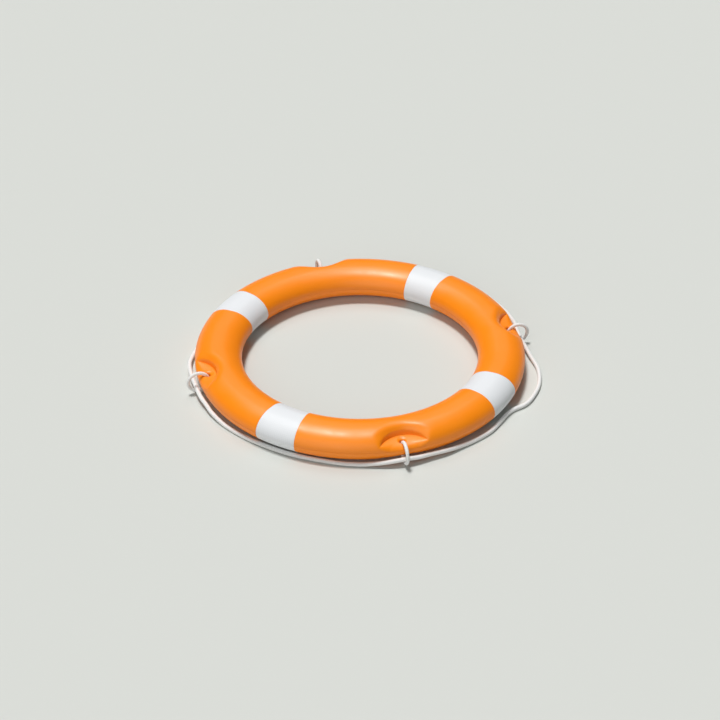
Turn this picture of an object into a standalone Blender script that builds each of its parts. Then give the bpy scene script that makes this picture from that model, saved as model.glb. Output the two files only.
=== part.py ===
"""A 750 mm life ring: two half shells welded at mid height round a foam core, four reflective
bands, a grab line held by four becket loops, and the plugs of the foam's filling holes.

Metres, +Z up. The ring lies flat, with its origin on the floor at the middle of the ring.
"""
import math

import bmesh
import bpy
from mathutils import Matrix, Vector

# Ring body
RING_OD = 0.750
TUBE_WIDTH = 0.107
TUBE_HEIGHT = 0.075
LAND_WIDTH = 0.020          # flat strip along the crown and along the underside
SHELL_WALL = 0.0035
FIT_GAP = 0.0003            # between faces that touch on the real ring

# Reflective bands, each in a shallow seat moulded round the tube
BAND_WIDTH = 0.084          # along the middle of the tube
TAPE_THICKNESS = 0.0008
TAPE_SINK = 0.0002          # how far the tape lies below the shell's surface
TAPE_JOINT = 0.003          # open joint where the tape's two ends meet

# Recesses, half-moon cuts in the outer side. The ones in the underside are shallower, so that the
# flange between them reaches down below the ring's mid height.
RECESS_AXIS_OUT = 0.020     # upright axis of the half moon, outside the rim
RECESS_RADIUS = 0.060       # from that axis to the crease at the foot of the wall
SHELF_RISE = 0.0125         # upper crease above the ring's mid height
UNDER_SHELF_RISE = 0.0235   # lower crease below it
SHELF_SLOPE = math.radians(8.5)
RECESS_WALL_SLOPE = math.radians(85)
LIP_RADIUS = 0.016
UNDER_LIP_RADIUS = 0.010

# Hole through each flange, for the becket's cord
HOLE_IN = 0.0210            # hole's axis, inside the rim
HOLE_DIAMETER = 0.0136
HOLE_FLARE = 0.0045         # widening where the cord bends over the hole's edge
BOSS_WALL = 0.0025

# Becket loops
BECKET_CORD = 0.008
BECKET_WIDTH = 0.047        # loop's centre line, across
BECKET_HEIGHT = 0.046
BECKET_TILT = math.radians(10)
BECKET_DROP = 0.007         # middle of the loop below the ring's mid height
BECKET_SWAY = 0.0020        # how far the cord leans inward in its hole
BECKET_SLEEVE_LENGTH = 0.013
BECKET_SLEEVE_TURN = math.radians(262)

# Grab line
LINE_DIAMETER = 0.010
LINE_OUT_AT_BECKETS = 0.0065
LINE_SLEEVE_LENGTH = 0.036
SLEEVE_WALL = 0.0015
SLEEVE_FIT = 0.0004         # round the cord, inside a sleeve

# Plugs of the filling hole and the vent, in the underside's flat strip
PLUG_HEAD = 0.015
PLUG_HEAD_THICKNESS = 0.0012
PLUG_SINK = 0.0002
PLUG_SHANK = 0.0074
PLUG_BARB_OUT = 0.0008
PLUG_REACH = 0.007          # from the head's face to the shank's tip
PLUG_ANGLES = {"filler_plug": 202.5, "vent_plug": 22.5}

# Facets
RING_STEPS = 72
CORE_STEPS = 48
ARC_STEPS = 4               # from the rim to a flat strip
RECESS_STEPS = 36
LIP_STEPS = 3
HOLE_STEPS = 16
PLUG_STEPS = 12
BAND_STEPS = 3
LOOP_STEPS = 72             # on the oval that a becket follows
BECKET_POINTS = 24
SLEEVE_POINTS = 4
SPAN_STEPS = 16             # on a smooth curve, between two of its given points
CORD_RESOLUTION = 2         # a bevel resolution of n gives 2 n + 4 sides
SLEEVE_RESOLUTION = 4
SHARP_ANGLE = math.radians(30)
MERGE_DISTANCE = 0.00001

MID = TUBE_HEIGHT / 2
RIM = RING_OD / 2
TUBE_RADIUS = RIM - TUBE_WIDTH / 2
SEAT_DEPTH = TAPE_THICKNESS + TAPE_SINK + FIT_GAP
BAND_ANGLE = BAND_WIDTH / TUBE_RADIUS
HOLE_RADIUS = RIM - HOLE_IN
BAND_PLACES = {"right": 0, "back": 90, "left": 180, "front": 270}
BECKET_PLACES = {"right": 45, "back": 135, "left": 225, "front": 315}
REACH = 0.005               # how far a cutter runs past what it cuts

# The grab line's route, as angle in degrees, millimetres outside the rim and height in
# millimetres; None is the place where a loop carries it. It starts in its own sleeve.
LINE_ROUTE = [
    (100, 11, 7.4), (108, 10.5, 7.4), (116, 9, 9), (123, 8, 11), (129, 7, 15),
    (135, None, None), (141, 7, 15), (147, 6, 10.5), (154, 3, 6.4), (165, 0, 5.3),
    (178, 1, 5.3), (191, 3, 5.3), (200, 6.5, 5.6), (207, 12, 9), (212, 12.5, 12.5),
    (218.5, 9, 16), (225, None, None), (230.7, 6, 16), (235.5, 3.5, 12.5), (240, 3, 9),
    (248, 0, 5.5), (260, -6, 5.3), (275, -9, 5.3), (290, -8, 5.3), (299, -4, 5.8),
    (304.5, 0, 9.5), (309.5, 4, 14), (315, None, None), (319.5, 5.5, 16), (324, 3, 14.5),
    (330, 4, 12), (336.2, 2.5, 7), (342, 4, 5.3), (349, 6, 5.3), (354.5, 3, 5.3),
    (360, 1, 5.3), (364, 7, 5.3), (368, 23, 5.3), (373, 31, 5.3), (380, 35.5, 5.3),
    (388, 31, 5.3), (395.5, 17, 8), (400.5, 10.5, 13), (405, None, None),
    (409.5, 11, 16), (414.5, 20.5, 12), (419.5, 27, 8.5), (424, 32.5, 6), (429, 36, 5.3),
    (434, 39, 5.3), (439, 40, 5.3), (445, 33, 5.3), (451, 20, 6.2),
]
LINE_SPACING = 0.032


def material(name, colour, roughness, metallic=0.0):
    made = bpy.data.materials.new(name)
    made.use_nodes = True
    shader = made.node_tree.nodes["Principled BSDF"]
    shader.inputs["Base Color"].default_value = (*colour, 1.0)
    shader.inputs["Roughness"].default_value = roughness
    shader.inputs["Metallic"].default_value = metallic
    return made


def add_object(name, mesh, collection, surface=None):
    made = bpy.data.objects.new(name, mesh)
    collection.objects.link(made)
    if surface:
        mesh.materials.clear()
        mesh.materials.append(surface)
        mesh.shade_smooth()
        mesh.set_sharp_from_angle(angle=SHARP_ANGLE)
    else:
        made.hide_render = True
        made.display_type = "WIRE"
    return made


def evaluated_mesh(source):
    """The object's mesh with its modifiers applied, in the object's own frame."""
    bpy.context.view_layer.update()
    graph = bpy.context.evaluated_depsgraph_get()
    return bpy.data.meshes.new_from_object(source.evaluated_get(graph))


def turned(name, profile, steps, closed=False, angle=math.tau):
    """A cutter object turned about Z from (radius, height) points."""
    mesh = bpy.data.meshes.new(name)
    edges = [(i, i + 1) for i in range(len(profile) - 1)]
    if closed:
        edges.append((len(profile) - 1, 0))
    mesh.from_pydata([(radius, 0, height) for radius, height in profile], edges, [])
    made = add_object(name, mesh, CUTTERS)
    screw = made.modifiers.new("Turn", "SCREW")
    screw.angle = angle
    screw.steps = screw.render_steps = steps
    screw.use_merge_vertices = True
    screw.merge_threshold = MERGE_DISTANCE
    return made


def boolean(target, operation, tool):
    cut = target.modifiers.new(operation.title(), "BOOLEAN")
    cut.operation = operation
    cut.solver = "EXACT"
    cut.object = tool


def copies(name, source, places):
    """One cutter that holds a copy of the source's evaluated mesh at each matrix."""
    mesh = evaluated_mesh(source)
    joined = bmesh.new()
    for place in places:
        one = bmesh.new()
        one.from_mesh(mesh)
        one.transform(place)
        if place.determinant() < 0:
            bmesh.ops.reverse_faces(one, faces=one.faces)
        part = bpy.data.meshes.new(name)
        one.to_mesh(part)
        one.free()
        joined.from_mesh(part)
    result = bpy.data.meshes.new(name)
    joined.to_mesh(result)
    joined.free()
    return add_object(name, result, CUTTERS)


def turn_to(degrees):
    return Matrix.Rotation(math.radians(degrees), 4, "Z")


def half_step(steps):
    """Turns a facet, not an edge between facets, to face +X."""
    return Matrix.Rotation(math.pi / steps, 4, "Z")


def flipped():
    """Mirror about the ring's mid height."""
    over = Matrix.Scale(-1, 4, (0, 0, 1))
    over.translation.z = TUBE_HEIGHT
    return over


def oval(inset):
    """The tube's section moved inward by inset: an oval with a flat strip above and below,
    from the crown down the outer side and back up the inner one."""
    half_width = TUBE_WIDTH / 2
    rise = (TUBE_HEIGHT / 2) / math.sqrt(1 - (LAND_WIDTH / TUBE_WIDTH) ** 2)
    flat = math.asin((TUBE_HEIGHT / 2) / rise)
    quarter = [flat * (1 - i / ARC_STEPS) for i in range(ARC_STEPS)]
    right = quarter + [-angle for angle in reversed(quarter)]
    right.insert(ARC_STEPS, 0.0)
    section = [(math.cos(a), math.sin(a)) for a in right]
    section += [(-x, z) for x, z in reversed(section)]
    across = half_width - inset
    up = rise * (TUBE_HEIGHT / 2 - inset) / (TUBE_HEIGHT / 2)
    return [(TUBE_RADIUS + across * x, MID + up * z) for x, z in section]


def recess_profile(growth, rise, lip_radius):
    """Half moon's section about its own upright axis, grown into the shell by growth."""
    crease = MID + rise
    top = TUBE_HEIGHT + FIT_GAP
    lip = max(lip_radius - growth, FIT_GAP)
    run = math.cos(RECESS_WALL_SLOPE)
    climb = math.sin(RECESS_WALL_SLOPE)
    length = (top - crease - lip_radius * (1 - run)) / climb
    lip_axis = RECESS_RADIUS + length * run + lip_radius * climb
    wall_foot = RECESS_RADIUS + growth * climb, crease - growth * run
    shelf_drop = growth / math.cos(SHELF_SLOPE)

    def shelf_height(radius):
        return crease - shelf_drop - (RECESS_RADIUS - radius) * math.tan(SHELF_SLOPE)

    # where the grown shelf meets the grown wall
    below = shelf_height(wall_foot[0]) - wall_foot[1]
    foot = wall_foot[0] + below / (math.tan(RECESS_WALL_SLOPE) - math.tan(SHELF_SLOPE))
    points = [(0, shelf_height(0)), (foot, shelf_height(foot))]
    for i in range(LIP_STEPS + 1):
        turn = RECESS_WALL_SLOPE * (1 - i / LIP_STEPS)
        points.append((lip_axis - lip * math.sin(turn),
                       top - lip_radius + lip * math.cos(turn)))
    points.append((lip_axis, TUBE_HEIGHT + REACH))
    points.append((0, TUBE_HEIGHT + REACH))
    return list(reversed(points))


def hole_profile(growth):
    """The flange's cord hole: flared at both shelves, or grown by growth as a plain bore."""
    radius = HOLE_DIAMETER / 2 + growth
    if growth:
        return [(0, TUBE_HEIGHT + REACH), (radius, TUBE_HEIGHT + REACH), (radius, -REACH), (0, -REACH)]
    fall = (RECESS_RADIUS - RECESS_AXIS_OUT - HOLE_IN) * math.tan(SHELF_SLOPE)
    upper = MID + SHELF_RISE - fall
    lower = MID - UNDER_SHELF_RISE + fall
    flare = HOLE_FLARE + REACH
    return [(0, upper + REACH), (radius + flare, upper + REACH), (radius, upper - HOLE_FLARE),
            (radius, lower + HOLE_FLARE), (radius + flare, lower - REACH), (0, lower - REACH)]


def recess_cutters(label, growth):
    """All eight half moons and all four holes, grown by growth. Round a hole the wall is a boss's."""
    out = Matrix.Translation((RIM + RECESS_AXIS_OUT, 0, 0)) @ half_step(RECESS_STEPS)
    cutters = []
    for side, rise, lip, over in (("upper", SHELF_RISE, LIP_RADIUS, Matrix.Identity(4)),
                                  ("lower", UNDER_SHELF_RISE, UNDER_LIP_RADIUS, flipped())):
        moon = turned(side + "_half_moon_" + label, recess_profile(growth, rise, lip), RECESS_STEPS)
        places = [turn_to(angle) @ over @ out for angle in BECKET_PLACES.values()]
        cutters.append(copies(side + "_recesses_" + label, moon, places))
    wall = growth - SHELL_WALL + BOSS_WALL if growth else 0
    hole = turned("hole_" + label, hole_profile(wall), HOLE_STEPS)
    out = Matrix.Translation((HOLE_RADIUS, 0, 0)) @ half_step(HOLE_STEPS)
    cutters.append(copies("holes_" + label, hole, [turn_to(a) @ out for a in BECKET_PLACES.values()]))
    return cutters


def ring_form(name, inset, steps, label):
    """The ring at an inset, with its recesses and cord holes."""
    form = turned(name, oval(inset), steps, closed=True)
    form.rotation_euler.z = math.pi / steps
    for cutter in recess_cutters(label, inset):
        boolean(form, "DIFFERENCE", cutter)
    return form


def box(name, size, centre):
    made = bmesh.new()
    bmesh.ops.create_cube(made, size=1)
    bmesh.ops.scale(made, vec=size, verts=made.verts)
    bmesh.ops.translate(made, vec=centre, verts=made.verts)
    mesh = bpy.data.meshes.new(name)
    made.to_mesh(mesh)
    made.free()
    return add_object(name, mesh, CUTTERS)


def band_sheet(name, inset, angle, opening):
    """A sheet that wraps the tube over the angle, centred on +X. Its two ends meet low on the
    inner side, where they are open by opening."""
    profile = oval(inset)
    if opening:
        start = len(profile) // 2 + 1
        profile = profile[start:] + profile[:start]
        joint = Vector(profile[0])
        after, before = Vector(profile[1]) - joint, Vector(profile[-1]) - joint
        profile[0] = tuple(joint + after.normalized() * opening / 2)
        profile.append(tuple(joint + before.normalized() * opening / 2))
    sheet = turned(name, profile, BAND_STEPS, closed=not opening, angle=angle)
    sheet.rotation_euler.z = -angle / 2
    return sheet


def thicken(sheet, thickness, side):
    solid = sheet.modifiers.new("Thickness", "SOLIDIFY")
    solid.thickness = thickness
    solid.offset = side
    solid.use_even_offset = True


def make_bands(surface):
    gap_angle = FIT_GAP / TUBE_RADIUS
    sheet = band_sheet("tape_form", TAPE_SINK, BAND_ANGLE - 2 * gap_angle, TAPE_JOINT)
    thicken(sheet, TAPE_THICKNESS, -1)
    for place, angle in BAND_PLACES.items():
        mesh = evaluated_mesh(sheet)
        mesh.transform(turn_to(angle) @ sheet.matrix_world)
        add_object("tape_" + place, mesh, PARTS, surface)


def seat_cutters():
    sheet = band_sheet("seat_form", SEAT_DEPTH, BAND_ANGLE, 0)
    thicken(sheet, SEAT_DEPTH + REACH, 1)
    bpy.context.view_layer.update()
    return copies("seats", sheet, [turn_to(a) @ sheet.matrix_world for a in BAND_PLACES.values()])


def plug_profile():
    """A plug's section, from its tip in the foam down to its head."""
    head, shank = PLUG_HEAD / 2, PLUG_SHANK / 2
    barb = shank + PLUG_BARB_OUT
    inside = SHELL_WALL + FIT_GAP
    neck = PLUG_SINK + PLUG_HEAD_THICKNESS
    return [(0, PLUG_SINK + PLUG_REACH), (shank - PLUG_BARB_OUT, PLUG_SINK + PLUG_REACH),
            (barb, inside + PLUG_BARB_OUT), (barb, inside), (shank, inside),
            (shank, neck), (head, neck), (head, PLUG_SINK), (0, PLUG_SINK)]


def plug_hole_profile():
    """The counterbored hole in the shell's wall."""
    head, shank = PLUG_HEAD / 2 + FIT_GAP, PLUG_SHANK / 2 + FIT_GAP
    neck = PLUG_SINK + PLUG_HEAD_THICKNESS + FIT_GAP
    top = SHELL_WALL + REACH
    return [(0, top), (shank, top), (shank, neck), (head, neck), (head, -REACH), (0, -REACH)]


def plug_pocket_profile():
    """The plug's tip sits in this pocket in the foam."""
    barb = PLUG_SHANK / 2 + PLUG_BARB_OUT + FIT_GAP
    top = PLUG_SINK + PLUG_REACH + FIT_GAP
    return [(0, top), (barb, top), (barb, -REACH), (0, -REACH)]


def plug_places():
    out = Matrix.Translation((TUBE_RADIUS, 0, 0))
    return [turn_to(angle) @ out for angle in PLUG_ANGLES.values()]


def make_plugs(surface):
    form = turned("plug_form", plug_profile(), PLUG_STEPS)
    for name, place in zip(PLUG_ANGLES, plug_places()):
        mesh = evaluated_mesh(form)
        mesh.transform(place)
        add_object(name, mesh, PARTS, surface)


def make_body(shell_surface, foam_surface):
    """The two half shells and the foam between them."""
    plug_hole = turned("plug_hole", plug_hole_profile(), PLUG_STEPS)
    plug_pocket = turned("plug_pocket", plug_pocket_profile(), PLUG_STEPS)
    shell = ring_form("shell_form", 0, RING_STEPS, "outer")
    hollow = ring_form("hollow_form", SHELL_WALL, CORE_STEPS, "hollow")
    for cutter in (seat_cutters(), hollow, copies("plug_holes", plug_hole, plug_places())):
        boolean(shell, "DIFFERENCE", cutter)
    shell_mesh = evaluated_mesh(shell)
    shell_mesh.transform(shell.matrix_world)
    span = RING_OD + 2 * REACH
    for name, side in (("shell_upper", 1), ("shell_lower", -1)):
        half = add_object(name, shell_mesh.copy(), PARTS, shell_surface)
        height = MID + REACH
        middle = MID + side * (height + FIT_GAP) / 2
        boolean(half, "INTERSECT", box(name + "_side", (span, span, height), (0, 0, middle)))
    core = ring_form("core_form", SHELL_WALL + FIT_GAP, CORE_STEPS, "core")
    boolean(core, "DIFFERENCE", copies("plug_pockets", plug_pocket, plug_places()))
    core_mesh = evaluated_mesh(core)
    core_mesh.transform(core.matrix_world)
    add_object("foam_core", core_mesh, PARTS, foam_surface)


def smooth_closed(points):
    """Points on a closed Catmull-Rom curve through the given ones, SPAN_STEPS for each."""
    count = len(points)
    curve = []
    for i in range(count):
        a, b, c, d = (points[(i + k) % count] for k in (-1, 0, 1, 2))
        for j in range(SPAN_STEPS):
            t = j / SPAN_STEPS
            curve.append(0.5 * ((2 * b) + (c - a) * t + (2 * a - 5 * b + 4 * c - d) * t * t
                                + (3 * b - a - 3 * c + d) * t * t * t))
    return curve


class ClosedPath:
    """A closed curve, read by the distance along it from its first point."""

    def __init__(self, points):
        self.points = points + points[:1]
        self.marks = [0.0]
        for a, b in zip(self.points, self.points[1:]):
            self.marks.append(self.marks[-1] + (b - a).length)
        self.length = self.marks[-1]

    def at(self, distance):
        distance %= self.length
        i = max(k for k, mark in enumerate(self.marks[:-1]) if mark <= distance)
        share = (distance - self.marks[i]) / (self.marks[i + 1] - self.marks[i])
        return self.points[i].lerp(self.points[i + 1], share)

    def stretch(self, start, end, count):
        return [self.at(start + (end - start) * i / (count - 1)) for i in range(count)]


def tube(name, points, radius, resolution, collection, surface=None):
    """A round cord or sleeve along the points, as a curve with a bevel and capped ends."""
    curve = bpy.data.curves.new(name, "CURVE")
    curve.dimensions = "3D"
    curve.bevel_depth = radius
    curve.bevel_resolution = resolution
    curve.use_fill_caps = True
    line = curve.splines.new("POLY")
    line.points.add(len(points) - 1)
    for knot, point in zip(line.points, points):
        knot.co = (*point, 1.0)
    made = bpy.data.objects.new(name, curve)
    collection.objects.link(made)
    if surface:
        curve.materials.append(surface)
    return made


def tube_mesh(name, points, radius):
    """A sleeve's tube as a closed mesh, which can be cut."""
    source = tube(name, points, radius, SLEEVE_RESOLUTION, CUTTERS)
    mesh = evaluated_mesh(source)
    mesh.transform(source.matrix_world)
    bpy.data.objects.remove(source)
    welded = bmesh.new()
    welded.from_mesh(mesh)
    bmesh.ops.remove_doubles(welded, verts=welded.verts, dist=MERGE_DISTANCE)
    welded.to_mesh(mesh)
    welded.free()
    return mesh


def sleeve(name, path, cord, length, surface):
    """A bored sleeve over the place where the path's two ends meet."""
    sides = 2 * SLEEVE_RESOLUTION + 4
    bore = (cord / 2 + SLEEVE_FIT) / math.cos(math.pi / sides)
    past = length / (SLEEVE_POINTS - 1)
    outer = path.stretch(-length / 2, length / 2, SLEEVE_POINTS)
    inner = path.stretch(-length / 2 - past, length / 2 + past, SLEEVE_POINTS + 2)
    solid = add_object(name, tube_mesh(name, outer, bore + SLEEVE_WALL), PARTS, surface)
    hole = add_object(name + "_bore", tube_mesh(name + "_bore", inner, bore), CUTTERS)
    boolean(solid, "DIFFERENCE", hole)


def becket_point(turn):
    """The loop's centre line in its own upright plane, as (radius, height)."""
    across = BECKET_WIDTH / 2 * math.cos(turn)
    up = BECKET_HEIGHT / 2 * math.sin(turn)
    lean_cos, lean_sin = math.cos(BECKET_TILT), math.sin(BECKET_TILT)
    radius = HOLE_RADIUS + BECKET_WIDTH / 2 - BECKET_SWAY + across * lean_cos + up * lean_sin
    height = MID - BECKET_DROP + up * lean_cos - across * lean_sin
    return radius, height


def line_height_on_becket():
    """Height of the grab line where it lies in a loop's lower bend."""
    line_radius = RIM + LINE_OUT_AT_BECKETS
    touching = BECKET_CORD / 2 + LINE_DIAMETER / 2 + FIT_GAP
    heights = []
    for degrees in range(180, 361):
        radius, height = becket_point(math.radians(degrees))
        aside = abs(radius - line_radius)
        if aside < touching:
            heights.append(height + math.sqrt(touching ** 2 - aside ** 2))
    return max(heights)


def make_beckets(cord_surface, sleeve_surface):
    turns = [BECKET_SLEEVE_TURN + math.tau * i / LOOP_STEPS for i in range(LOOP_STEPS)]
    for place, angle in BECKET_PLACES.items():
        turn = turn_to(angle)
        path = ClosedPath([turn @ Vector((radius, 0, height))
                           for radius, height in map(becket_point, turns)])
        cord = path.stretch(FIT_GAP / 2, path.length - FIT_GAP / 2, BECKET_POINTS)
        tube("becket_" + place, cord, BECKET_CORD / 2, CORD_RESOLUTION, PARTS, cord_surface)
        sleeve("becket_sleeve_" + place, path, BECKET_CORD, BECKET_SLEEVE_LENGTH, sleeve_surface)


def make_grab_line(cord_surface, sleeve_surface):
    points = []
    for degrees, out, up in LINE_ROUTE:
        if out is None:
            radius, height = RIM + LINE_OUT_AT_BECKETS, line_height_on_becket()
        else:
            radius, height = RIM + out / 1000, up / 1000
        angle = math.radians(degrees)
        points.append(Vector((radius * math.cos(angle), radius * math.sin(angle), height)))
    path = ClosedPath(smooth_closed(points))
    stops = [path.marks[i * SPAN_STEPS] for i, (_, out, _) in enumerate(LINE_ROUTE) if out is None]
    stops = [FIT_GAP / 2] + stops + [path.length - FIT_GAP / 2]
    cord = [path.at(stops[0])]
    for start, end in zip(stops, stops[1:]):
        count = math.ceil((end - start) / LINE_SPACING)
        cord += path.stretch(start, end, count + 1)[1:]
    tube("grab_line", cord, LINE_DIAMETER / 2, CORD_RESOLUTION, PARTS, cord_surface)
    sleeve("grab_line_sleeve", path, LINE_DIAMETER, LINE_SLEEVE_LENGTH, sleeve_surface)
    print("grab line: %.0f mm" % (path.length * 1000))


for old in list(bpy.data.objects):
    bpy.data.objects.remove(old)
PARTS = bpy.data.collections.new("life_ring")
CUTTERS = bpy.data.collections.new("cutters")
for group in (PARTS, CUTTERS):
    bpy.context.scene.collection.children.link(group)

orange_plastic = material("orange_polyethylene", (1.0, 0.24, 0.02), 0.35)
white_tape = material("white_reflective_tape", (0.85, 0.86, 0.86), 0.3)
white_rope = material("white_braided_rope", (0.85, 0.84, 0.80), 0.8)
white_sleeve = material("white_shrink_sleeve", (0.80, 0.80, 0.78), 0.45)
cream_foam = material("cream_foam", (0.80, 0.68, 0.42), 0.9)
black_plug = material("black_plug_plastic", (0.02, 0.02, 0.02), 0.5)

make_body(orange_plastic, cream_foam)
make_bands(white_tape)
make_plugs(black_plug)
make_beckets(white_rope, white_sleeve)
make_grab_line(white_rope, white_sleeve)
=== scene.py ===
# %% [markdown]
# A life ring, dressed for the camera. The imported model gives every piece's size and place, so this
# script only makes surfaces: a moulded shell with soft edges, reflective tape, braided cord and the
# small fittings. Each step says what the piece is on the real ring, how it could be made in
# Blender, and why this way was chosen.

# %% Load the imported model
import math

import bpy
import numpy as np
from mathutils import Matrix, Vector


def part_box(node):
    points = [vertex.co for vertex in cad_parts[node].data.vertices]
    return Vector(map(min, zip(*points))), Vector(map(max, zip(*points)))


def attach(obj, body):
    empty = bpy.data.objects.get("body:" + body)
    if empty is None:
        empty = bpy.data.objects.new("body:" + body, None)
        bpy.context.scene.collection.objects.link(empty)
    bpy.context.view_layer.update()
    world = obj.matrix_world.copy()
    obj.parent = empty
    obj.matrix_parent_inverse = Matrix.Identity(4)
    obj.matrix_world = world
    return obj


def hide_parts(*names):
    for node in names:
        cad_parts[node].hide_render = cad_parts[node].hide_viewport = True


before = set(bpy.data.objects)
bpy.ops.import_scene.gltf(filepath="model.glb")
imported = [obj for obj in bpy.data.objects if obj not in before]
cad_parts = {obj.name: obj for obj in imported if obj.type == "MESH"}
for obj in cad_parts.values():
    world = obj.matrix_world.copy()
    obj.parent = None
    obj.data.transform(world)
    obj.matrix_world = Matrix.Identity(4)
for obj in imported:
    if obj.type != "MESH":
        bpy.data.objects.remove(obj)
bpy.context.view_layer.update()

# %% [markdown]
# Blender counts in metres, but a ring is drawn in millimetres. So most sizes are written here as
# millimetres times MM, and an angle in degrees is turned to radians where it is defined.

MM = 0.001
print("nodes in the packed model:", len(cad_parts))

# %% [markdown]
# The ring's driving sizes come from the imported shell. Its corners lie on the true circles, so the
# farthest and the nearest of them give the rim and the edge of the hole.

# %% Sizes of the ring, from the frame
shell_corners = np.array([corner.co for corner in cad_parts["shell_upper"].data.vertices])
corner_radii = np.hypot(shell_corners[:, 0], shell_corners[:, 1])
RIM = float(corner_radii.max())
TUBE_RADIUS = (RIM + float(corner_radii.min())) / 2
HALF_WIDTH = RIM - TUBE_RADIUS
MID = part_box("shell_upper")[1].z / 2
PLACES = ("right", "back", "left", "front")
BECKET_DEGREES = dict(zip(PLACES, (45, 135, 225, 315)))
BAND_DEGREES = dict(zip(PLACES, (0, 90, 180, 270)))
print("rim %.1f mm, tube %.1f by %.1f mm" % (RIM / MM, 2 * HALF_WIDTH / MM, 2 * MID / MM))

# %% [markdown]
# The camera stands where the photograph was taken from, about six metres off with a long lens. A
# long lens keeps the ring's far side nearly as large as its near side.

# %% Camera
CAMERA_AZIMUTH = math.radians(30)
CAMERA_ELEVATION = math.radians(35)
CAMERA_DISTANCE = 6.2235
CAMERA_TARGET = Vector((0, 0, 22.4 * MM))
VIEW_ANGLE = math.radians(15)


def direction(azimuth, elevation):
    """The way from the ring towards a camera or a lamp. Azimuth 0 is in front, at -Y."""
    level = math.cos(elevation)
    return Vector((math.sin(azimuth) * level, -math.cos(azimuth) * level, math.sin(elevation)))


def stand(name, data, azimuth, elevation, distance, target):
    """Puts a camera or a lamp at a distance from the target, and turns it there."""
    made = bpy.data.objects.new(name, data)
    back = direction(azimuth, elevation)
    made.location = target + back * distance
    made.rotation_mode = "QUATERNION"
    made.rotation_quaternion = (-back).to_track_quat("-Z", "Y")
    bpy.context.scene.collection.objects.link(made)
    return made


lens = bpy.data.cameras.new("camera")
lens.angle = VIEW_ANGLE
bpy.context.scene.camera = stand(
    "camera", lens, CAMERA_AZIMUTH, CAMERA_ELEVATION, CAMERA_DISTANCE, CAMERA_TARGET)
print("camera at", [round(value, 3) for value in bpy.context.scene.camera.location])

# %% [markdown]
# A cord's shape is its route. Each becket is an oval loop that leans out over the rim. The grab
# line's route is a list of places round the ring: between the beckets the line lies on the floor,
# and at each becket it hangs in the loop's lower bend.

# %% Places of the line and the beckets
FIT_GAP = 0.3 * MM  # air between two pieces that don't touch
LINE_DIAMETER = 10 * MM
BECKET_CORD = 8 * MM
LINE_OUT_AT_BECKETS = 6.5 * MM
HOLE_RADIUS = RIM - 21 * MM  # from the ring's axis to a becket's hole
BECKET_WIDTH, BECKET_HEIGHT = 47 * MM, 46 * MM
BECKET_TILT = math.radians(10)
BECKET_DROP, BECKET_SWAY = 7 * MM, 2 * MM
BECKET_SLEEVE_TURN = math.radians(262)  # where the loop's ends meet, low under the flange

# degrees, metres outside the rim, height in metres; None is a place where a becket carries the line
LINE_ROUTE = [
    (100, 0.011, 0.0074), (108, 0.0105, 0.0074), (116, 0.009, 0.009), (123, 0.008, 0.011),
    (129, 0.007, 0.015), (135, None, None), (141, 0.007, 0.015), (147, 0.006, 0.0105),
    (154, 0.003, 0.0064), (165, 0.0, 0.0053), (178, 0.001, 0.0053), (191, 0.003, 0.0053),
    (200, 0.0065, 0.0056), (207, 0.012, 0.009), (212, 0.0125, 0.0125), (218.5, 0.009, 0.016),
    (225, None, None), (230.7, 0.006, 0.016), (235.5, 0.0035, 0.0125), (240, 0.003, 0.009),
    (248, 0.0, 0.0055), (260, -0.006, 0.0053), (275, -0.009, 0.0053), (290, -0.008, 0.0053),
    (299, -0.004, 0.0058), (304.5, 0.0, 0.0095), (309.5, 0.004, 0.014), (315, None, None),
    (319.5, 0.0055, 0.016), (324, 0.003, 0.0145), (330, 0.004, 0.012), (336.2, 0.0025, 0.007),
    (342, 0.004, 0.0053), (349, 0.006, 0.0053), (354.5, 0.003, 0.0053), (360, 0.001, 0.0053),
    (364, 0.007, 0.0053), (368, 0.023, 0.0053), (373, 0.031, 0.0053), (380, 0.0355, 0.0053),
    (388, 0.031, 0.0053), (395.5, 0.017, 0.008), (400.5, 0.0105, 0.013), (405, None, None),
    (409.5, 0.011, 0.016), (414.5, 0.0205, 0.012), (419.5, 0.027, 0.0085), (424, 0.0325, 0.006),
    (429, 0.036, 0.0053), (434, 0.039, 0.0053), (439, 0.04, 0.0053), (445, 0.033, 0.0053),
    (451, 0.02, 0.0062),
]
print("the line's route has", len(LINE_ROUTE), "places")

# %% [markdown]
# Between places the line has to bend without a break. Straight runs and arcs would meet in
# corners. A curve object would bend well, but the cord's path is needed below as plain numbers. So
# a Catmull-Rom curve goes through every place, in a few lines of numpy.

# %% Smooth closed curves
SPAN_STEPS = 16  # points from one place of the line to the next


def round_the_ring(radius, degrees, height):
    angle = np.radians(degrees)
    return np.stack([radius * np.cos(angle), radius * np.sin(angle), height], axis=-1)


def smooth_closed(points):
    """A closed Catmull-Rom curve through the points."""
    a, b, c, d = (np.roll(points, shift, axis=0)[:, None] for shift in (1, 0, -1, -2))
    t = (np.arange(SPAN_STEPS) / SPAN_STEPS)[None, :, None]
    bend, twist = 2 * a - 5 * b + 4 * c - d, 3 * b - a - 3 * c + d
    curve = 2 * b + (c - a) * t + bend * t**2 + twist * t**3
    return curve.reshape(-1, 3) / 2


def points_at(closed, distances):
    """Points on a closed curve, at distances along it from its first point."""
    points = np.concatenate([closed, closed[:1]])
    marks = np.concatenate([[0], np.cumsum(np.linalg.norm(np.diff(points, axis=0), axis=1))])
    at = np.mod(distances, marks[-1])
    return np.stack([np.interp(at, marks, points[:, axis]) for axis in range(3)], axis=1)


def along(closed, start, end, step):
    """Evenly spaced points on a closed curve, from one distance along it to another."""
    return points_at(closed, np.linspace(start, end, math.ceil((end - start) / step) + 1))


def girth(closed):
    return float(np.linalg.norm(closed - np.roll(closed, -1, axis=0), axis=1).sum())


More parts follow.
